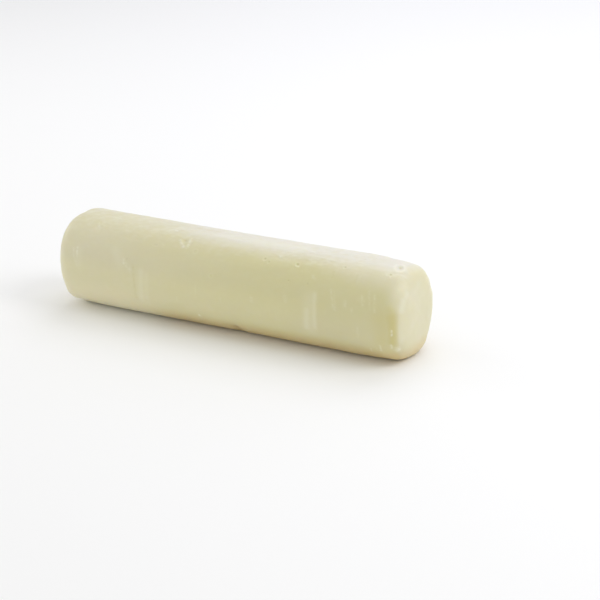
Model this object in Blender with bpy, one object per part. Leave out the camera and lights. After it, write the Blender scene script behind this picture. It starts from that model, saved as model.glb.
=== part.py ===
# A whole provolone log: one uncut, unwrapped piece of cheese lying on its side.
# Metres, +Z up, +X along the log. The origin is in the middle of the flattened underside.

import math

import bmesh
import bpy

# Section: a round-cornered square, softer below than above.
HEIGHT = 0.110            # across the section, before the underside is pressed flat
WIDTH = 0.1096
SQUARE_TOP = 2.42         # superellipse exponents: 2 is an ellipse, more is squarer
SQUARE_BELOW = 2.29
SETTLE = 0.0018           # how deep the cheese's own weight has flattened the underside

# Length, and the taper from the far end to the near end.
LENGTH = 0.457
TAPER = 0.010             # share by which the far end is thicker than the middle

# Ends: how far each rounding reaches back from the tip, at mid height and how much more
# at the top than at mid height, and the two exponents of its profile.
NEAR_END = {"reach": 0.0394, "top_more": 0.0116, "along": 3.0, "across": 5.6}
FAR_END = {"reach": 0.0249, "top_more": -0.0048, "along": 2.25, "across": 4.16}

# Facets.
AROUND = 60               # points round the section
END_RINGS = 13            # rings over each end
BODY_RINGS = 14           # rings along the straight part
FINE = 400                # steps for measuring an end's profile

CHEESE_COLOUR = (0.80, 0.74, 0.50, 1.0)
CHEESE_ROUGHNESS = 0.42


def clear_scene():
    for thing in list(bpy.data.objects):
        bpy.data.objects.remove(thing, do_unlink=True)


def signed_power(value, power):
    return math.copysign(abs(value) ** power, value)


def section_point(turn):
    # A point of the full-size section, as (y, z) from its centre. Turn is 0 at +Y, a quarter at the top.
    across = math.cos(turn)
    up = math.sin(turn)
    square = SQUARE_TOP if up >= 0.0 else SQUARE_BELOW
    y = WIDTH / 2 * signed_power(across, 2 / square)
    z = HEIGHT / 2 * signed_power(up, 2 / square)
    return y, z


def end_profile(end):
    # An end from its rim to its tip, as (share of the reach, share of the section), evenly spaced.
    fine = []
    for step in range(FINE + 1):
        quarter = math.pi / 2 * step / FINE
        section_share = math.cos(quarter) ** (2 / end["across"]) if step < FINE else 0.0
        reach_share = math.sin(quarter) ** (2 / end["along"])
        fine.append((reach_share, section_share))
    lengths = [0.0]
    for before, after in zip(fine, fine[1:]):
        run = (after[0] - before[0]) * end["reach"]
        rise = (after[1] - before[1]) * HEIGHT / 2
        lengths.append(lengths[-1] + math.hypot(run, rise))
    profile = []
    index = 0
    for ring in range(END_RINGS + 1):
        wanted = lengths[-1] * ring / END_RINGS
        while index < FINE - 1 and lengths[index + 1] < wanted:
            index += 1
        part = (wanted - lengths[index]) / (lengths[index + 1] - lengths[index])
        reach_share = fine[index][0] + part * (fine[index + 1][0] - fine[index][0])
        section_share = fine[index][1] + part * (fine[index + 1][1] - fine[index][1])
        profile.append((reach_share, section_share))
    return profile


def reach_at(end, turn):
    # How far the rounding of an end reaches back along the log at this turn of the section.
    return end["reach"] + end["top_more"] * math.sin(turn)


def log_point(turn, along, section_share):
    # A point of the log's skin. The taper leaves the underside level.
    y, z = section_point(turn)
    size = 1.0 - TAPER * along / (LENGTH / 2)
    return along, y * section_share * size, (z * section_share + HEIGHT / 2) * size


def log_rings():
    # All rings from the far end to the near one, without the two tips.
    turns = [2 * math.pi * step / AROUND for step in range(AROUND)]
    far = end_profile(FAR_END)[:-1]
    near = end_profile(NEAR_END)[:-1]
    rings = []
    for reach_share, section_share in reversed(far):
        ring = []
        for turn in turns:
            along = -LENGTH / 2 + reach_at(FAR_END, turn) * (1.0 - reach_share)
            ring.append(log_point(turn, along, section_share))
        rings.append(ring)
    for step in range(1, BODY_RINGS):
        ring = []
        for turn in turns:
            start = -LENGTH / 2 + reach_at(FAR_END, turn)
            stop = LENGTH / 2 - reach_at(NEAR_END, turn)
            along = start + (stop - start) * step / BODY_RINGS
            ring.append(log_point(turn, along, 1.0))
        rings.append(ring)
    for reach_share, section_share in near:
        ring = []
        for turn in turns:
            along = LENGTH / 2 - reach_at(NEAR_END, turn) * (1.0 - reach_share)
            ring.append(log_point(turn, along, section_share))
        rings.append(ring)
    return rings


def skin_log(mesh):
    # Bridges the rings and closes each tip with a fan.
    rings = []
    for ring in log_rings():
        rings.append([mesh.verts.new(point) for point in ring])
    far_tip = mesh.verts.new(log_point(0.0, -LENGTH / 2, 0.0))
    near_tip = mesh.verts.new(log_point(0.0, LENGTH / 2, 0.0))
    for step in range(AROUND):
        beside = (step + 1) % AROUND
        mesh.faces.new((far_tip, rings[0][beside], rings[0][step]))
        mesh.faces.new((near_tip, rings[-1][step], rings[-1][beside]))
        for ring, further in zip(rings, rings[1:]):
            mesh.faces.new((ring[step], ring[beside], further[beside], further[step]))
    bmesh.ops.recalc_face_normals(mesh, faces=mesh.faces)


def flatten_underside(mesh):
    # Cuts the underside off flat where the log rests, and stands it on Z = 0.
    everything = list(mesh.verts) + list(mesh.edges) + list(mesh.faces)
    cut = bmesh.ops.bisect_plane(
        mesh, geom=everything, dist=1e-6, plane_co=(0.0, 0.0, SETTLE),
        plane_no=(0.0, 0.0, 1.0), clear_inner=True,
    )
    rim = [piece for piece in cut["geom_cut"] if isinstance(piece, bmesh.types.BMEdge)]
    bmesh.ops.contextual_create(mesh, geom=rim)
    bmesh.ops.translate(mesh, verts=mesh.verts, vec=(0.0, 0.0, -SETTLE))
    bmesh.ops.recalc_face_normals(mesh, faces=mesh.faces)


def cheese_material():
    material = bpy.data.materials.new("cheese")
    material.use_nodes = True
    shader = material.node_tree.nodes["Principled BSDF"]
    shader.inputs["Base Color"].default_value = CHEESE_COLOUR
    shader.inputs["Roughness"].default_value = CHEESE_ROUGHNESS
    shader.inputs["Metallic"].default_value = 0.0
    return material


def cheese_log():
    work = bmesh.new()
    skin_log(work)
    flatten_underside(work)
    mesh = bpy.data.meshes.new("cheese_log")
    work.to_mesh(mesh)
    work.free()
    mesh.shade_smooth()
    mesh.materials.append(cheese_material())
    log = bpy.data.objects.new("cheese_log", mesh)
    bpy.context.scene.collection.objects.link(log)
    return log


clear_scene()
cheese_log()
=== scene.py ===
import math

import bmesh
import bpy
import numpy as np
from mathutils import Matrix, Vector


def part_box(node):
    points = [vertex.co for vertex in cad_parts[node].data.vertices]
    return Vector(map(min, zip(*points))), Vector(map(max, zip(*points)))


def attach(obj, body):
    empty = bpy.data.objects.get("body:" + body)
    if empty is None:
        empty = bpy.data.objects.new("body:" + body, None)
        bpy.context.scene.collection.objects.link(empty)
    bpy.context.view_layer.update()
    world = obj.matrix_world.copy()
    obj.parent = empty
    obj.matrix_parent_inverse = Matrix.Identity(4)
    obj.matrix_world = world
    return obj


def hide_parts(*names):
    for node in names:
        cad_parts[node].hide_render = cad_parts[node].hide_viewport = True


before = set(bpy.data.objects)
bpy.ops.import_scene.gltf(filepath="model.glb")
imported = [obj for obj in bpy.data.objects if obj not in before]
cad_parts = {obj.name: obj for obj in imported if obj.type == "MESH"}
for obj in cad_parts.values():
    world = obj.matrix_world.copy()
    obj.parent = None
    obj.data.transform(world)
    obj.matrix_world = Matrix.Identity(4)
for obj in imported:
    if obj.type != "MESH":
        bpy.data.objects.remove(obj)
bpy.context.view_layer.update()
print("provolone: frame loaded")


# The log's form. Its length, width and height come from the frame.
logForm = {
    "squareTop": 2.42,        # 2 is a round section, more is squarer
    "squareBelow": 2.29,
    "settle": 0.0018,         # how far its own weight has flattened the underside
    "settleRound": 0.0010,    # how softly the skin turns into that flat
    "taper": 0.010,           # how much thinner the near end is than the middle, as a share
    "nearEnd": {"reach": 0.0394, "topMore": 0.0116, "along": 3.0, "across": 5.6, "rings": 48},
    "farEnd": {"reach": 0.0249, "topMore": -0.0048, "along": 2.25, "across": 4.16, "rings": 34},
    "bodyRings": 190,         # mesh: rings between the ends, and points in each ring
    "around": 210,
    "finestTurn": 160,        # the mesh is closest here, on the front, in degrees round the log
    "backSpacing": 2.0,       # how much wider it is spaced on the side away from there
    "backEase": 1.5,
    "curveSteps": 4001,       # how finely the curves are measured before they are spaced out
}

lowCorner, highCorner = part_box("cheese_log")
logLength = highCorner.x - lowCorner.x
farTopReach = logForm["farEnd"]["reach"] + logForm["farEnd"]["topMore"]
thickest = 1.0 + logForm["taper"] * (1.0 - 2.0 * farTopReach / logLength)
logHeight = (highCorner.z - lowCorner.z + logForm["settle"]) / thickest
logWidth = (highCorner.y - lowCorner.y) / thickest


def signedPower(values, power):
    return np.sign(values) * np.abs(values) ** power


def sectionAt(turn):
    # Full-size section as y and z from its middle; turn is 0 at the back, a quarter at the top.
    square = np.where(np.sin(turn) >= 0.0, logForm["squareTop"], logForm["squareBelow"])
    return (logWidth / 2 * signedPower(np.cos(turn), 2 / square),
            logHeight / 2 * signedPower(np.sin(turn), 2 / square))


def spreadTurns():
    # Turns evenly spaced along the skin, closer together over the front and top.
    fine = np.linspace(0.0, 2 * math.pi, logForm["curveSteps"])
    y, z = sectionAt(fine)
    middle = (fine[1:] + fine[:-1]) / 2
    awayFromFinest = 1.0 - (0.5 - 0.5 * np.cos(middle - math.radians(logForm["finestTurn"] - 180)))
    spacing = 1.0 + (logForm["backSpacing"] - 1.0) * awayFromFinest ** logForm["backEase"]
    length = np.concatenate([[0.0], np.cumsum(np.hypot(np.diff(y), np.diff(z)) / spacing)])
    wanted = np.linspace(0.0, length[-1], logForm["around"] + 1)[:-1]
    return np.interp(wanted, length, fine)


def endProfile(end):
    # Rim to tip, evenly spaced, as share of the reach and share of the section.
    quarter = np.linspace(0.0, math.pi / 2, logForm["curveSteps"])
    reachShare = np.sin(quarter) ** (2 / end["along"])
    sectionShare = np.cos(quarter) ** (2 / end["across"])
    sectionShare[-1] = 0.0
    steps = np.hypot(np.diff(reachShare) * end["reach"], np.diff(sectionShare) * logHeight / 2)
    length = np.concatenate([[0.0], np.cumsum(steps)])
    wanted = np.linspace(0.0, length[-1], end["rings"] + 1)
    return np.interp(wanted, length, reachShare), np.interp(wanted, length, sectionShare)


def placeOnLog(along, turn, sectionShare):
    # A point of the smooth skin; the underside stays level and presses flat.
    y, z = sectionAt(turn)
    size = 1.0 - logForm["taper"] * along / (logLength / 2)
    height = (z * sectionShare + logHeight / 2) * size - logForm["settle"]
    soft = logForm["settleRound"]
    rounded = (np.clip(height, -soft, soft) + soft) ** 2 / (4 * soft)
    height = np.where(height > soft, height, rounded)
    return np.stack([along + 0.0 * height, y * sectionShare * size, height], axis=-1)


def reachAt(end, turn):
    return end["reach"] + end["topMore"] * np.sin(turn)


def logRings(turns):
    # The closed curves of the skin, from the far tip's smallest to the near tip's.
    far, near = logForm["farEnd"], logForm["nearEnd"]
    rings = []
    for reachShare, sectionShare in reversed(list(zip(*endProfile(far)))[:-1]):
        along = -logLength / 2 + reachAt(far, turns) * (1.0 - reachShare)
        rings.append(placeOnLog(along, turns, sectionShare))
    start = -logLength / 2 + reachAt(far, turns)
    stop = logLength / 2 - reachAt(near, turns)
    for step in range(1, logForm["bodyRings"]):
        rings.append(placeOnLog(start + (stop - start) * step / logForm["bodyRings"], turns, 1.0))
    for reachShare, sectionShare in list(zip(*endProfile(near)))[:-1]:
        along = logLength / 2 - reachAt(near, turns) * (1.0 - reachShare)
        rings.append(placeOnLog(along, turns, sectionShare))
    return rings


def smoothLog():
    # The log's skin as one closed mesh, before any relief.
    turns = spreadTurns()
    rings = logRings(turns)
    ends = (-logLength / 2, logLength / 2)
    tips = [placeOnLog(np.array(end), np.array(0.0), 0.0)[None] for end in ends]
    points = np.concatenate(rings + tips)

    around, count = len(turns), len(rings)
    step = np.arange(around)
    beside = (step + 1) % around
    faces = []
    for ring in range(count - 1):
        low, high = ring * around, (ring + 1) * around
        corners = [low + step, low + beside, high + beside, high + step]
        faces.extend(np.stack(corners, axis=-1).tolist())
    farTip, nearTip, last = count * around, count * around + 1, (count - 1) * around
    pairs = list(zip(step.tolist(), beside.tolist()))
    faces.extend([[farTip, second, first] for first, second in pairs])
    faces.extend([[nearTip, last + first, last + second] for first, second in pairs])
    mesh = bpy.data.meshes.new("provoloneLog")
    mesh.from_pydata(points.tolist(), [], faces)
    mesh.validate()
    return mesh


# Marks in the skin, each placed by how far along the log it lies from the middle (metres, towards the
# near end) and by its turn round the log (degrees: 90 is the top, 180 the middle of the front). Sizes
# are in metres, paleness and butter in shares.
skinMarks = {
    # Hollows: along, turn, half length, half width, depth, rim height, rim paleness (a painted
    # highlight on the rim).
    "hollows": [
        (0.2064, 94, 0.0031, 0.0046, 0.0012, 0.00010, 0.06),  # oval crater by the near end
        (0.2062, 95, 0.0054, 0.0072, 0.0002, 0.00035, 0.26),  # and its raised rim, its light tone a painted highlight
        (0.2030, 113, 0.0018, 0.0022, 0.0010, 0.00010, 0.08),
        (0.2055, 110, 0.0050, 0.0045, 0.0003, 0, 0),
        (0.0932, 124, 0.0023, 0.0026, 0.0009, 0.00015, 0.12),
        (0.0518, 124, 0.0022, 0.0024, 0.0007, 0.00012, 0.18),
        (0.0583, 128, 0.0016, 0.0018, 0.0004, 0.00010, 0.14),
        (0.1490, 115, 0.0019, 0.0022, 0.0006, 0.00008, 0.10),
        (-0.0557, 117, 0.0034, 0.0027, 0.0007, 0, 0),  # the dimple inside the torn V
        (-0.0462, 120, 0.0020, 0.0040, 0.0005, 0, 0),
        (0.0893, 149, 0.0014, 0.0014, 0.0005, 0, 0),
        (0.1130, 149, 0.0016, 0.0016, 0.0005, 0, 0),
        (-0.0367, 131, 0.0028, 0.0028, 0.0002, 0.00008, 0.10),
        (-0.0088, 160, 0.0024, 0.0024, 0.0003, 0.00010, 0.10),
        (-0.0900, 132, 0.0036, 0.0020, 0.0002, 0.00004, 0.05),
        (-0.1230, 158, 0.0014, 0.0014, 0.0004, 0.00004, 0),
        (-0.1340, 58, 0.0020, 0.0018, 0.0006, 0.00010, 0.12),  # and three on the back
        (0.0720, 46, 0.0019, 0.0022, 0.0007, 0.00010, 0.14),
        (0.1420, 24, 0.0016, 0.0018, 0.0005, 0.00008, 0.10),
    ],
    # Trails, narrow and a little broken up: points, half width, paleness, butter (painted shade in
    # grooves), height.
    "trails": [
        ([(-0.0620, 117), (-0.0583, 123), (-0.0535, 128)], 0.0022, 0.44, 0, 0.00035),  # torn V, its light arms a painted highlight on the raised lip
        ([(-0.0510, 111), (-0.0494, 119), (-0.0490, 126)], 0.0022, 0.50, 0, 0.00035),
        ([(-0.0545, 128), (-0.0500, 128)], 0.0022, 0.34, 0, 0.00010),
        ([(-0.0775, 100), (-0.0765, 100)], 0.0018, 0.70, 0, 0.00015),
        ([(-0.0640, 97), (-0.0500, 98)], 0.0024, 0.28, 0, 0.00010),
        ([(-0.0850, 103), (-0.0800, 98), (-0.0760, 96)], 0.0044, 0.26, 0, 0.00025),
        ([(-0.0815, 99), (-0.0790, 101)], 0.0022, 0.28, 0, 0.00015),
        ([(-0.0640, 92), (-0.0560, 92)], 0.0042, 0.22, 0, 0.00020),
        ([(0.0670, 115), (0.0705, 115)], 0.0022, 0.62, 0, 0.00020),
        ([(0.0710, 115), (0.0740, 112), (0.0770, 109)], 0.0019, 0.26, 0, 0.00020),
        ([(0.0915, 127), (0.0955, 127)], 0.0013, 0.55, 0, 0.00020),
        ([(0.1017, 132), (0.1022, 133)], 0.0011, 0.25, 0.5, 0.00005),
        ([(0.1985, 113), (0.1995, 116)], 0.0018, 0.30, 0, 0.00012),
        ([(0.2043, 117), (0.2045, 118)], 0.0015, 0.30, 0, 0.00010),
        ([(0.2060, 109), (0.2130, 104)], 0.0024, 0, 0.05, -0.00020),  # crease by the crater, with painted shade
        ([(0.1425, 151), (0.1480, 172)], 0.0016, 0.19, 0, 0.00008),
        ([(0.1471, 152), (0.1500, 173)], 0.0015, 0.14, 0, 0.00008),
        ([(0.1612, 162), (0.1615, 167)], 0.0025, 0.19, 0, 0.00008),
        ([(0.1698, 168), (0.1702, 172)], 0.0020, 0.14, 0, 0.00006),
        ([(0.1770, 156), (0.1830, 157)], 0.0022, 0.19, 0, 0.00010),  # small cross
        ([(0.1805, 152), (0.1828, 162)], 0.0020, 0.17, 0, 0.00010),
        ([(0.1877, 144), (0.1918, 166)], 0.0013, 0.16, 0, 0.00006),
        ([(0.1950, 148), (0.1974, 168)], 0.0016, 0.20, 0, 0.00008),
        ([(0.1165, 136), (0.1180, 139), (0.1215, 141)], 0.0020, 0.16, 0, 0.00010),
        ([(0.1388, 126), (0.1392, 134)], 0.0018, 0, 0.22, -0.00020),
        ([(0.1673, 126), (0.1676, 136)], 0.0016, 0, 0.16, -0.00016),
        ([(0.1710, 126), (0.1713, 136)], 0.0022, 0.11, 0, 0.00012),
        # grooves across the top, darkened with painted shade
        ([(0.1479, 92), (0.1500, 88)], 0.0018, 0, 0.12, -0.00025),
        ([(0.1600, 99), (0.1620, 93)], 0.0020, 0, 0.14, -0.00030),
        ([(0.1700, 96), (0.1725, 88)], 0.0020, 0, 0.14, -0.00030),
        ([(0.1777, 184), (0.1774, 195)], 0.0020, 0.14, 0, 0.00008),
        ([(0.1904, 212), (0.1904, 218)], 0.0014, 0.29, 0, 0.00006),  # ticks low on the front
        ([(0.1980, 209), (0.1980, 213)], 0.0011, 0.22, 0, 0.00006),
        ([(0.2030, 204), (0.2030, 212)], 0.0016, 0.36, 0, 0.00008),
        ([(0.2155, 202), (0.2158, 208)], 0.0016, 0.36, 0, 0.00008),
        ([(0.2167, 183), (0.2168, 189)], 0.0012, 0.50, 0, 0.00008),
        ([(0.2205, 211), (0.2212, 214)], 0.0034, 0.54, 0, 0.00025),  # bright fleck at the corner
        ([(0.0448, 176), (0.0450, 179)], 0.0024, 0.20, 0, 0.00006),
        ([(0.0870, 168), (0.0890, 173)], 0.0030, 0.14, 0, 0.00006),
        ([(0.0740, 160), (0.0742, 168)], 0.0014, 0, 0.12, -0.00008),
        ([(-0.0282, 210), (-0.0280, 212)], 0.0019, 0.85, 0, 0.00012),
        ([(0.0215, 228), (0.0330, 229)], 0.0018, 0.45, 0, 0.00010),
        ([(-0.1275, 160), (-0.1265, 163)], 0.0028, 0.46, 0, 0.00012),
        ([(-0.1240, 164), (-0.1175, 170)], 0.0034, 0.20, 0, 0.00006),
        ([(-0.1136, 164), (-0.1115, 184), (-0.1110, 199)], 0.0022, 0, 0.30, -0.00020),  # girth lines
        ([(-0.0970, 172), (-0.0980, 206)], 0.0018, 0.12, 0, 0.00006),
        ([(-0.0925, 176), (-0.0935, 206)], 0.0016, 0.08, 0, 0.00006),
        ([(-0.1976, 156), (-0.1966, 166)], 0.0016, 0.22, 0, 0.00008),  # scuffs by the far end
        ([(-0.1923, 155), (-0.1918, 164)], 0.0021, 0.44, 0, 0.00008),
        ([(-0.1900, 157), (-0.1893, 168)], 0.0013, 0, 0.16, -0.00006),
        ([(-0.1958, 168), (-0.1925, 175)], 0.0018, 0.18, 0, 0.00006),
        ([(-0.1785, 111), (-0.1712, 124)], 0.0015, 0.24, 0, 0.00010),
        ([(-0.1750, 112), (-0.1680, 123)], 0.0015, 0, 0.14, -0.00012),
        ([(-0.1820, 113), (-0.1750, 122)], 0.0013, 0, 0.12, -0.00010),
        ([(-0.0543, 189), (-0.0543, 194)], 0.0013, 0.12, 0, 0.00006),
        ([(0.0046, 180), (0.0048, 185)], 0.0016, 0.10, 0, 0.00006),
        ([(-0.0285, 174), (-0.0283, 184)], 0.0014, 0.10, 0, 0.00006),
        ([(-0.0830, 128), (-0.0800, 129)], 0.0018, 0.16, 0, 0.00008),
        ([(-0.1180, 127), (-0.1090, 129)], 0.0030, 0, 0.10, -0.00020),
        ([(0.0850, 93), (0.1010, 97)], 0.0030, 0.14, 0, 0.00020),
        # a shallow groove along the shoulder, with painted shade
        ([(0.0600, 117), (0.0900, 116), (0.1200, 113)], 0.0050, 0, 0.10, -0.00015),
        ([(-0.0800, 10), (-0.0812, -20)], 0.0030, 0.16, 0, 0.00008),  # drag lines on the back
        ([(-0.0730, 4), (-0.0738, -22)], 0.0022, 0.12, 0, 0.00006),
        ([(0.0590, 16), (0.0602, -12)], 0.0040, 0.20, 0, 0.00008),
        ([(0.1640, 6), (0.1652, -14)], 0.0018, 0.18, 0, 0.00006),
        ([(-0.1705, 24), (-0.1690, 6)], 0.0024, 0.20, 0, 0.00008),
        ([(0.0090, 38), (0.0130, 34)], 0.0026, 0.22, 0, 0.00012),
    ],
    # Patches, broad and soft: points, half width, paleness, butter, and the place along the log where
    # they stop short (1.0 is none).
    "patches": [
        # painted shade on the front just short of the near end, a deeper yellow
        ([(0.2160, 172), (0.2175, 179), (0.2185, 188), (0.2175, 198)], 0.0080, 0, 1.00, 0.2227),
        ([(0.2145, 163), (0.2160, 169)], 0.0060, 0, 0.50, 0.2227),
        ([(0.2060, 176), (0.2085, 184), (0.2065, 200)], 0.0125, 0, 0.52, 0.2222),
        ([(0.2165, 142), (0.2195, 154)], 0.0090, 0.18, 0, 1.0),
        ([(0.1152, 178), (0.1142, 196)], 0.0046, 0.32, 0, 0.20),  # pair of drag lines
        ([(0.1240, 160), (0.1246, 194)], 0.0036, 0.30, 0, 0.1275),
        ([(0.1185, 166), (0.1190, 197)], 0.0095, 0.17, 0, 0.1285),
        ([(-0.1022, 170), (-0.1036, 201)], 0.0042, 0.20, 0, 1.0),
        ([(-0.0950, 172), (-0.0960, 203)], 0.0036, 0.12, 0, 1.0),
        ([(0.2238, 122), (0.2248, 128)], 0.0048, 0.22, 0, 1.0),  # painted highlight along the near end's ridge
        ([(0.2249, 131), (0.2248, 139)], 0.0052, 0.42, 0, 1.0),
        ([(0.2242, 146), (0.2242, 160)], 0.0056, 0.50, 0, 1.0),
        ([(0.2262, 124), (0.2268, 146)], 0.0080, 0.16, 0, 1.0),
        ([(0.2246, 162), (0.2248, 198)], 0.0062, 0.22, 0, 1.0),
        ([(-0.0250, 93), (0.0850, 91)], 0.0100, 0.30, 0, 1.0),  # painted highlight along the crest of the top
        ([(-0.0200, 104), (0.0200, 106)], 0.0080, 0.16, 0, 1.0),
        ([(0.0450, 117), (0.0800, 116)], 0.0080, 0.12, 0, 1.0),
        ([(-0.0650, 93), (-0.0300, 98)], 0.0090, 0.18, 0, 1.0),
        ([(0.1200, 187), (0.2000, 187)], 0.0200, 0, 0.08, 1.0),
        ([(-0.0880, 113), (-0.0520, 111)], 0.0060, 0, 0.24, 1.0),  # yellower by the torn V
        ([(-0.1000, 120), (-0.0650, 118)], 0.0120, 0, 0.14, 1.0),
        ([(-0.1050, 140), (-0.0650, 140)], 0.0140, 0, 0.10, 1.0),
        ([(-0.1890, 158), (-0.1900, 174)], 0.0050, 0.12, 0, 1.0),
        ([(-0.1400, 150), (-0.1320, 165)], 0.0070, 0.14, 0, 1.0),
    ],
    # Swells and presses, broad and shallow: points, half width, height.
    "swells": [
        ([(-0.1550, 226), (-0.0850, 229)], 0.024, 0.0009),
        ([(0.1050, 236), (0.1600, 236)], 0.024, 0.0009),
        ([(-0.1700, 74), (0.0600, 74)], 0.030, -0.0005),
        ([(0.0155, 226), (0.0155, 250)], 0.0065, -0.0028),  # nick in the lower edge
        ([(-0.2178, 97), (-0.2170, 90)], 0.007, -0.0006),
        ([(-0.2140, 84), (-0.2060, 78)], 0.012, -0.0010),
        ([(-0.2150, 219), (-0.2116, 228)], 0.007, 0.0019),
        ([(-0.2050, 237), (-0.1960, 242)], 0.010, -0.0017),
        ([(0.1860, 64), (0.2010, 62)], 0.0105, -0.0015),
        ([(0.2225, 40), (0.2245, 24)], 0.0085, -0.0013),
        ([(0.2040, 245), (0.2120, 250)], 0.0075, -0.0018),
        ([(0.2225, 272), (0.2245, 290)], 0.009, 0.0017),
    ],
    # Waves that keep the skin from being too even: seed, how many, shortest and longest in metres,
    # height, and how far they are drawn out along the log (1 is not at all).
    "waves": [
        (11, 26, 0.070, 0.200, 0.00022, 1.0),
        (12, 40, 0.016, 0.045, 0.00005, 1.0),
        (13, 50, 0.009, 0.030, 0.00007, 0.16),
    ],
    "flatBelow": (0.0005, 0.0065),  # all relief fades out here, so that the underside stays flat
    # How a mark's strength falls off, in shares of its half width.
    "falloff": {
        "trail": {"sharpness": 1.4, "limit": 2.4},
        "patch": {"limit": 2.6, "before": 0.0014, "after": 0.0010},  # round its stop, in metres
        "bowl": 0.70,
        "rim": {"at": 1.15, "width": 0.38},
        "pitShade": {"width": 0.6, "most": 0.4, "perMetre": 260},  # painted shade: deeper pits are darker and yellower inside
        "hollowReach": 0.006,       # how far a hollow acts through the skin, in metres
        "split": (2.2, 1.3),        # the mesh is split twice, this far round the marks
        "splitHollow": 1.3,
        # What breaks the trails up: seed, number, shortest, longest and height of its waves.
        "breakUp": {
            "waves": (21, 60, 0.0018, 0.0060, 0.30),
            "middle": 0.80, "least": 0.25, "most": 1.25,
        },
    },
    # Tones that change slowly over the skin, from painted warm shade low down where it rests to a
    # painted highlight along the top. Each eases from nothing at the first value of a pair to its full
    # share at the second.
    "tones": {
        "body": {"near": (0.2225, 0.2185), "far": (-0.2265, -0.2190)},
        # Painted warm shade low down, where it rests.
        "warmShadeBelow": {
            "height": (0.028, 0.006), "along": (-0.135, -0.060), "share": 0.95,
            "atEnds": 0.75,         # how much of it is left on the ends
        },
        # Painted light on the lower edge towards the far end.
        "lightBelowFarEnd": {"height": (0.052, 0.008), "along": (-0.06, -0.14), "share": 0.88},
        # Painted light below the middle of the front.
        "lightBelowMiddle": {"turn": (154, 178), "along": (0.155, 0.055), "share": 0.25, "below": (240, 222)},
        # Painted highlight, a whiter top.
        "topHighlight": {
            "turn": (123, 97), "along": (-0.13, -0.01), "share": 0.78,
            "behind": (20, 60), "near": (0.221, 0.206),
        },
        # Painted shade on the front, and on the near end's face towards the back.
        "frontShade": {
            "turn": (110, 132), "along": (-0.19, 0.08), "share": 0.62, "below": (290, 230),
            # It starts further down by the near end, and is weaker in a belt below the middle.
            "lower": {"degrees": 15, "along": (0.10, 0.19)},
            "belt": {"less": 0.45, "from": (165, 200), "to": (203, 220)},
            "rim": {"less": 0.65, "along": (0.203, 0.2225), "later": 0.014, "turn": (145, 165)},
            # painted shade on the near end's face, towards the back
            "face": {"share": 0.30, "across": (-0.020, 0.030), "along": (0.0, 0.1)},
        },
        # Blotches of drier and buttery skin, strongest along the top.
        "blotches": {
            "share": 0.10, "relief": 0.00007, "elsewhere": 0.15, "most": 2,
            "front": (142, 108), "behind": (20, 60), "nearLess": 0.55, "near": (0.140, 0.190),
            "waves": (31, 70, 0.004, 0.013, 1.0), "drawnOut": 0.6,
        },
    },
}


def skinPoint(along, turn):
    # A point of the smooth skin, on the body or on the rounding of the near end.
    rounding = reachAt(logForm["nearEnd"], turn)
    past = np.clip((along - (logLength / 2 - rounding)) / rounding, 0.0, 1.0)
    share = (1.0 - past ** logForm["nearEnd"]["along"]) ** (1.0 / logForm["nearEnd"]["across"])
    return placeOnLog(along, turn, share)


def trailPoints(stops, gap=0.0005):
    # Points set close together through the stops of a trail.
    stops = np.array(stops, dtype=float)
    places = [skinPoint(*np.array([along, math.radians(turn)])) for along, turn in stops]
    reach = [0.0]
    for first, second in zip(places, places[1:]):
        reach.append(reach[-1] + float(np.linalg.norm(second - first)))
    steps = np.linspace(0.0, reach[-1], max(2, int(reach[-1] / gap)))
    along = np.interp(steps, reach, stops[:, 0])
    turn = np.radians(np.interp(steps, reach, stops[:, 1]))
    return skinPoint(along, turn)


def distanceTo(points, places, limit):
    # How far each point lies from the nearest place; anything past the limit stays at the limit.
    distance = np.full(len(points), limit)
    low, high = places.min(axis=0) - limit, places.max(axis=0) + limit
    inside = np.all((points > low) & (points < high), axis=1)
    near = points[inside]
    if len(near):
        apart = np.linalg.norm(near[:, None, :] - places[None, :, :], axis=2).min(axis=1)
        distance[inside] = np.minimum(apart, limit)
    return distance


def hollowDistance(points, along, turn, halfLength, halfWidth):
    # Distance from a hollow's middle as a share of its oval outline.
    turn = math.radians(turn)
    smallTurn, smallStep = 0.01, 0.001
    middle = skinPoint(np.array(along), np.array(turn))
    roundWay = skinPoint(np.array(along), np.array(turn + smallTurn)) - middle
    roundWay /= np.linalg.norm(roundWay)
    alongWay = skinPoint(np.array(along + smallStep), np.array(turn)) - middle
    alongWay /= np.linalg.norm(alongWay)
    outward = np.cross(roundWay, alongWay)
    offset = points - middle
    return np.sqrt((offset @ alongWay / halfLength) ** 2 + (offset @ roundWay / halfWidth) ** 2
                   + (offset @ outward / skinMarks["falloff"]["hollowReach"]) ** 2)


def turnOf(points):
    # Turn round the log in degrees, from the back over the top to the front and below.
    middle = logHeight / 2 - logForm["settle"]
    return np.degrees(np.arctan2(points[:, 2] - middle, points[:, 1])) % 360.0


def softStep(values, start, stop):
    # Eases from 0 at start to 1 at stop; start may be the larger.
    share = np.clip((values - start) / (stop - start), 0.0, 1.0)
    return share * share * (3 - 2 * share)


def broadWaves(points, seed, count, shortest, longest, height):
    # A smooth uneven field: many long waves in seeded directions, added up.
    draw = np.random.default_rng(seed)
    total = np.zeros(len(points))
    for _ in range(count):
        heading = draw.normal(size=3)
        heading /= np.linalg.norm(heading)
        length = shortest * (longest / shortest) ** draw.random()
        total += np.sin(points @ heading * (2 * math.pi / length) + draw.random() * 2 * math.pi)
    return height * total / math.sqrt(count / 2)


def logNumbers(mesh):
    points = np.zeros(len(mesh.vertices) * 3)
    normals = np.zeros(len(mesh.vertices) * 3)
    mesh.vertices.foreach_get("co", points)
    mesh.vertex_normals.foreach_get("vector", normals)
    return points.reshape(-1, 3), normals.reshape(-1, 3)


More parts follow.
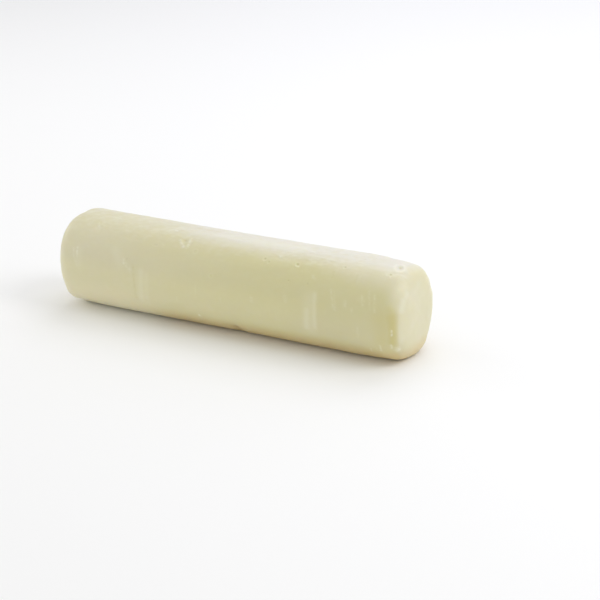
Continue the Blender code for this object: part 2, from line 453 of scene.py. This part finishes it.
def refineNearMarks(mesh):
    # Splits the mesh finer where small marks lie, so that their relief has room.
    body = bmesh.new()
    body.from_mesh(mesh)
    falloff = skinMarks["falloff"]
    for margin in falloff["split"]:
        points = np.array([vert.co for vert in body.verts])
        close = np.zeros(len(points), dtype=bool)
        for hollow in skinMarks["hollows"]:
            close |= hollowDistance(points, *hollow[:4]) < margin * falloff["splitHollow"]
        for trail in skinMarks["trails"]:
            stops, halfWidth = trail[:2]
            reach = halfWidth * margin
            close |= distanceTo(points, trailPoints(stops), reach) < reach
        edges = [edge for edge in body.edges if all(close[vert.index] for vert in edge.verts)]
        bmesh.ops.subdivide_edges(body, edges=edges, cuts=1, use_grid_fill=True)
        body.verts.index_update()
    body.to_mesh(mesh)
    body.free()


def pressTrails(points):
    # Trails: their relief adds up, and the strongest paleness and butter at each point counts. In
    # grooves the butter is painted shade.
    breakUp, trail = skinMarks["falloff"]["breakUp"], skinMarks["falloff"]["trail"]
    patchy = breakUp["middle"] + broadWaves(points, *breakUp["waves"])
    patchy = np.clip(patchy, breakUp["least"], breakUp["most"])
    sharpness, limit = trail["sharpness"], trail["limit"]
    lift = np.zeros(len(points))
    tones = np.zeros((2, len(points)))
    for stops, halfWidth, paleness, butterAndShadeShare, height in skinMarks["trails"]:
        distance = distanceTo(points, trailPoints(stops), limit * halfWidth) / halfWidth
        shape = np.exp(-distance ** 2 * sharpness) - math.exp(-limit ** 2 * sharpness)
        lift += height * shape
        tones = np.maximum(tones, np.outer((paleness, butterAndShadeShare), shape * patchy))
    return lift, tones[0], tones[1]


def broadShape(points, stops, halfWidth):
    # A broad mark's strength: 1 along its stops, falling off softly.
    limit = skinMarks["falloff"]["patch"]["limit"] * halfWidth
    distance = distanceTo(points, trailPoints(stops, halfWidth / 4), limit)
    return np.exp(-(distance / halfWidth) ** 2)


def pressMarks(points):
    # Relief, paleness and butter of all the marks, with painted highlights on the rims of hollows and
    # painted shade inside them.
    lift, pale, butterAndShade = pressTrails(points)
    falloff = skinMarks["falloff"]
    rim, pit, patch = falloff["rim"], falloff["pitShade"], falloff["patch"]
    for along, turn, halfLength, halfWidth, depth, rimHeight, rimPale in skinMarks["hollows"]:
        distance = hollowDistance(points, along, turn, halfLength, halfWidth)
        onRim = np.exp(-((distance - rim["at"]) / rim["width"]) ** 2)
        lift += rimHeight * onRim - depth * np.exp(-(distance / falloff["bowl"]) ** 2)
        # Painted highlight on the rim, and painted shade inside, deeper for deeper hollows.
        pale = np.maximum(pale, rimPale * onRim)
        inside = np.exp(-(distance / pit["width"]) ** 2)
        butterAndShade = np.maximum(butterAndShade, min(pit["most"], depth * pit["perMetre"]) * inside)
    for stops, halfWidth, paleness, butterAndShadeShare, stop in skinMarks["patches"]:
        shape = broadShape(points, stops, halfWidth)
        shape *= softStep(points[:, 0], stop + patch["after"], stop - patch["before"])
        pale = np.maximum(pale, paleness * shape)
        butterAndShade = np.maximum(butterAndShade, butterAndShadeShare * shape)
    for stops, halfWidth, height in skinMarks["swells"]:
        lift += height * broadShape(points, stops, halfWidth)
    return lift, pale, butterAndShade


def spreadTone(tone, across, along):
    # A tone that eases in across the skin, by turn or by height, and along the log.
    limits = tone["turn"] if "turn" in tone else tone["height"]
    return tone["share"] * softStep(across, *limits) * softStep(along, *tone["along"])


def frontShadeTone(points, turns, body):
    # Painted shade on the front, a deeper yellow, weaker in a belt below the middle and at the near
    # rim, with painted shade towards the back of the near end's face.
    tone = skinMarks["tones"]["frontShade"]
    along = points[:, 0]
    lower, belt, rim, face = tone["lower"], tone["belt"], tone["rim"], tone["face"]
    frontShade = spreadTone(tone, turns - lower["degrees"] * softStep(along, *lower["along"]), along)
    frontShade *= 1.0 - belt["less"] * (softStep(turns, *belt["from"]) - softStep(turns, *belt["to"]))
    frontShade *= softStep(turns, *tone["below"])
    rimStart = rim["along"][0] + rim["later"] * softStep(turns, *rim["turn"])
    frontShade *= 1.0 - rim["less"] * softStep(along, rimStart, rim["along"][1])
    # Painted shade towards the back of the near end's face.
    endFace = (1.0 - body) * softStep(points[:, 1], *face["across"]) * softStep(along, *face["along"])
    return np.maximum(frontShade, face["share"] * endFace)


def blotchField(points, turns, body):
    # Waves of drier and buttery skin, and how strongly they show at each point.
    tone = skinMarks["tones"]["blotches"]
    where = softStep(turns, *tone["front"]) * softStep(turns, *tone["behind"]) * body
    where = tone["elsewhere"] + (1.0 - tone["elsewhere"]) * where
    where *= 1.0 - tone["nearLess"] * softStep(points[:, 0], *tone["near"])
    return broadWaves(points * (tone["drawnOut"], 1.0, 1.0), *tone["waves"]), where


def markSkin(points):
    # Relief and tones of the skin at its points.
    lift, pale, butterAndShade = pressMarks(points)
    along, height, turns = points[:, 0], points[:, 2], turnOf(points)
    look = skinMarks["tones"]
    body = softStep(along, *look["body"]["near"]) * softStep(along, *look["body"]["far"])

    # Painted highlight, a whiter top.
    topHighlight = spreadTone(look["topHighlight"], turns, along) * softStep(turns, *look["topHighlight"]["behind"])
    topHighlight *= softStep(along, *look["topHighlight"]["near"])
    # Painted light below the middle of the front.
    lightBelowMiddle = spreadTone(look["lightBelowMiddle"], turns, along) * softStep(turns, *look["lightBelowMiddle"]["below"])
    # Painted warm shade low down, where it rests.
    atEnds = look["warmShadeBelow"]["atEnds"]
    warmShadeBelow = spreadTone(look["warmShadeBelow"], height, along) * (atEnds + (1.0 - atEnds) * body)
    # Painted light on the lower edge towards the far end.
    lightBelowFarEnd = spreadTone(look["lightBelowFarEnd"], height, along)

    blotch, where = blotchField(points, turns, body)
    blotches = look["blotches"]
    pale = np.maximum(pale, np.clip(blotch, 0, blotches["most"]) * blotches["share"] * where)
    butterAndShade = np.maximum(butterAndShade, np.clip(-blotch, 0, blotches["most"]) * blotches["share"] * where)
    lift += blotch * blotches["relief"] * where
    # Painted shade on the front.
    frontShade = frontShadeTone(points, turns, body)
    return lift, {"pale": pale, "butterAndShade": butterAndShade, "topHighlight": topHighlight, "frontShade": frontShade,
                  "lightBelowMiddle": lightBelowMiddle, "warmShadeBelow": warmShadeBelow, "lightBelowFarEnd": lightBelowFarEnd}


def pressSkin(mesh):
    # Lifts the skin along its own normals, held off the flat underside, and keeps its tones.
    points, normals = logNumbers(mesh)
    lift, tones = markSkin(points)
    for seed, count, shortest, longest, height, drawnOut in skinMarks["waves"]:
        lift += broadWaves(points * (drawnOut, 1.0, 1.0), seed, count, shortest, longest, height)
    hold = softStep(points[:, 2], *skinMarks["flatBelow"])
    points += normals * (lift * hold)[:, None]
    mesh.vertices.foreach_set("co", points.ravel())
    for name, values in tones.items():
        layer = mesh.attributes.new(name, "FLOAT", "POINT")
        layer.data.foreach_set("value", values.astype(np.float32))
    mesh.update()


skinLook = {
    "light": (0.699, 0.657, 0.454, 1.0),
    "dark": (0.664, 0.621, 0.408, 1.0),
    "pale": (0.849, 0.840, 0.695, 1.0),     # dried flecks and scuffs, and painted highlights on the ridge, the top and the rims of hollows
    "butterAndShade": (0.619, 0.556, 0.239, 1.0),   # deeper yellow patches, and painted shade in pits, grooves and before the near end
    "topHighlight": (0.687, 0.660, 0.566, 1.0),    # painted highlight: whiter skin along the top
    "frontShade": (0.634, 0.595, 0.280, 1.0),     # painted shade: the deeper yellow of the front
    "lightBelowMiddle": (0.776, 0.728, 0.360, 1.0),    # painted light: a lighter band below the middle of the front
    "warmShadeBelow": (0.625, 0.472, 0.190, 1.0),  # painted warm shade low down, where it rests
    "lightBelowFarEnd": (0.805, 0.740, 0.500, 1.0),     # painted light: a lighter lower edge towards the far end
    "tones": ("frontShade", "lightBelowMiddle", "warmShadeBelow", "lightBelowFarEnd", "topHighlight", "butterAndShade", "pale"),  # laid on in this order
    "roughness": (0.44, 0.56),
    "wax": {"weight": 1.0, "roughness": 0.45, "ior": 1.5},
    "under": {"weight": 0.6, "radius": (1.0, 0.8, 0.4), "scale": 0.006},  # light spread under the skin
    # Noise: scale, detail and how it is stretched; bumps: strength and depth in metres.
    "clouds": (16.0, 5.0),
    "smudges": (60.0, 3.0),
    "girth": (1.0, 3.0, (420.0, 22.0, 22.0)),
    "girthBump": (0.25, 0.0004),
    "pores": (700.0, 3.0),
    "poreBump": (0.25, 0.0002),
}


def addNoise(nodes, links, place, scale, detail, stretch=(1.0, 1.0, 1.0)):
    spread = nodes.new("ShaderNodeMapping")
    spread.inputs["Scale"].default_value = stretch
    noise = nodes.new("ShaderNodeTexNoise")
    noise.inputs["Scale"].default_value = scale
    noise.inputs["Detail"].default_value = detail
    links.new(place.outputs["Object"], spread.inputs["Vector"])
    links.new(spread.outputs["Vector"], noise.inputs["Vector"])
    return noise


def addBlend(nodes, links, first, second, factor):
    # Mixes two colours, each a node's output or a plain colour.
    blend = nodes.new("ShaderNodeMix")
    blend.data_type = "RGBA"
    for socket, value in ((blend.inputs["A"], first), (blend.inputs["B"], second)):
        if isinstance(value, tuple):
            socket.default_value = value
        else:
            links.new(value, socket)
    links.new(factor, blend.inputs["Factor"])
    return blend.outputs["Result"]


def addBump(nodes, links, field, strength, depth):
    bump = nodes.new("ShaderNodeBump")
    bump.inputs["Strength"].default_value = strength
    bump.inputs["Distance"].default_value = depth
    links.new(field.outputs["Fac"], bump.inputs["Height"])
    return bump


def provoloneFinish():
    finish = bpy.data.materials.new("provoloneSkin")
    finish.use_nodes = True
    nodes, links = finish.node_tree.nodes, finish.node_tree.links
    shader = nodes["Principled BSDF"]
    under, wax = skinLook["under"], skinLook["wax"]
    shader.inputs["Subsurface Weight"].default_value = under["weight"]
    shader.inputs["Subsurface Radius"].default_value = under["radius"]
    shader.inputs["Subsurface Scale"].default_value = under["scale"]
    shader.inputs["Coat Weight"].default_value = wax["weight"]
    shader.inputs["Coat Roughness"].default_value = wax["roughness"]
    shader.inputs["Coat IOR"].default_value = wax["ior"]
    place = nodes.new("ShaderNodeTexCoord")

    clouds = addNoise(nodes, links, place, *skinLook["clouds"])
    colour = addBlend(nodes, links, skinLook["light"], skinLook["dark"], clouds.outputs["Fac"])
    for tone in skinLook["tones"]:
        reader = nodes.new("ShaderNodeAttribute")
        reader.attribute_name = tone
        colour = addBlend(nodes, links, colour, skinLook[tone], reader.outputs["Fac"])
    links.new(colour, shader.inputs["Base Color"])

    smudges = addNoise(nodes, links, place, *skinLook["smudges"])
    shine = nodes.new("ShaderNodeMapRange")
    shine.inputs["To Min"].default_value, shine.inputs["To Max"].default_value = skinLook["roughness"]
    links.new(smudges.outputs["Fac"], shine.inputs["Value"])
    links.new(shine.outputs["Result"], shader.inputs["Roughness"])

    girth = addNoise(nodes, links, place, *skinLook["girth"])
    pores = addNoise(nodes, links, place, *skinLook["pores"])
    girthBump = addBump(nodes, links, girth, *skinLook["girthBump"])
    poreBump = addBump(nodes, links, pores, *skinLook["poreBump"])
    links.new(girthBump.outputs["Normal"], poreBump.inputs["Normal"])
    links.new(poreBump.outputs["Normal"], shader.inputs["Normal"])
    return finish


def makeCheese():
    mesh = smoothLog()
    refineNearMarks(mesh)
    pressSkin(mesh)
    mesh.shade_smooth()
    mesh.materials.append(provoloneFinish())
    cheese = bpy.data.objects.new("provoloneLog", mesh)
    bpy.context.scene.collection.objects.link(cheese)
    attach(cheese, "root")
    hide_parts("cheese_log")
    triangles = sum(len(face.vertices) - 2 for face in mesh.polygons)
    print("provolone: log with", len(mesh.vertices), "points and", triangles, "triangles")


tableTop = {
    "half": 12.0,             # half its width, in metres
    "colour": (0.92, 0.92, 0.92, 1.0),
    "roughness": 0.8,
}


def makeFloor():
    mesh = bpy.data.meshes.new("paleFloor")
    half = tableTop["half"]
    corners = [(-half, -half, 0), (half, -half, 0), (half, half, 0), (-half, half, 0)]
    mesh.from_pydata(corners, [], [(0, 1, 2, 3)])
    finish = bpy.data.materials.new("paleFloor")
    finish.use_nodes = True
    shader = finish.node_tree.nodes["Principled BSDF"]
    shader.inputs["Base Color"].default_value = tableTop["colour"]
    shader.inputs["Roughness"].default_value = tableTop["roughness"]
    mesh.materials.append(finish)
    floor = bpy.data.objects.new("paleFloor", mesh)
    bpy.context.scene.collection.objects.link(floor)


# Soft boxes: where each stands from the log, its size in metres, its power in watts and its tint.
studio = {
    "sky": (0.69, (1.0, 1.0, 1.0, 1.0)),
    "boxes": {
        "topBack": ((0.0, 1.4, 1.8), (1.6, 1.2), 8.9, (0.975, 0.983, 1.042)),
        "topRight": ((1.6, 0.3, 1.6), (1.2, 1.2), 14.5, (1.0, 1.0, 1.0)),
        "leftFront": ((-1.8, -1.6, 1.0), (1.2, 1.2), 4.35, (1.049, 1.037, 0.913)),
        "left": ((-2.2, 0.0, 1.1), (1.2, 1.2), 5.9, (1.036, 1.022, 0.942)),
        "backWall": ((0.0, 2.4, 0.8), (3.0, 1.4), 5.2, (0.916, 0.935, 1.149)),
    },
}


def lightStudio():
    world = bpy.data.worlds.new("studio")
    bpy.context.scene.world = world
    world.use_nodes = True
    sky = world.node_tree.nodes["Background"]
    sky.inputs["Strength"].default_value, sky.inputs["Color"].default_value = studio["sky"]
    target = Vector((0.0, 0.0, logHeight / 2))
    for name, (place, size, power, tint) in studio["boxes"].items():
        light = bpy.data.lights.new(name, "AREA")
        light.shape = "RECTANGLE"
        light.size, light.size_y = size
        light.energy = power
        light.color = tint
        lamp = bpy.data.objects.new(name, light)
        lamp.location = place
        lamp.rotation_euler = (target - lamp.location).to_track_quat("-Z", "Y").to_euler()
        bpy.context.scene.collection.objects.link(lamp)


camera = {
    "azimuth": 27.85,         # degrees round from the front towards the near end
    "elevation": 21.47,
    "roll": -0.70,
    "distance": 1.927,        # from the middle of the log, in metres
    "beside": 0.0693,         # how far the view's middle lies right of the log's, in metres
    "below": 0.0220,
    "lens": 99.04,            # the lens and the sensor's width are in millimetres
    "sensor": 36.0,
}


def placeCamera():
    azimuth, elevation, roll = (math.radians(camera[key]) for key in ("azimuth", "elevation", "roll"))
    back = Vector((math.sin(azimuth) * math.cos(elevation),
                   -math.cos(azimuth) * math.cos(elevation),
                   math.sin(elevation)))
    level = Vector((math.cos(azimuth), math.sin(azimuth), 0.0))
    upward = back.cross(level)
    right = math.cos(roll) * level + math.sin(roll) * upward
    up = math.cos(roll) * upward - math.sin(roll) * level
    data = bpy.data.cameras.new("view")
    data.lens = camera["lens"]
    data.sensor_width = camera["sensor"]
    eye = bpy.data.objects.new("view", data)
    middle = Vector((0.0, 0.0, logHeight / 2 - logForm["settle"]))
    place = middle + right * camera["beside"] - up * camera["below"] + back * camera["distance"]
    turned = eye.matrix_world.copy()
    for column, values in enumerate((right, up, back, place)):
        for row in range(3):
            turned[row][column] = values[row]
    eye.matrix_world = turned
    bpy.context.scene.collection.objects.link(eye)
    bpy.context.scene.camera = eye


placeCamera()
makeCheese()
makeFloor()
lightStudio()
bpy.context.scene.view_settings.view_transform = "Standard"
print("provolone: lights and floor ready")
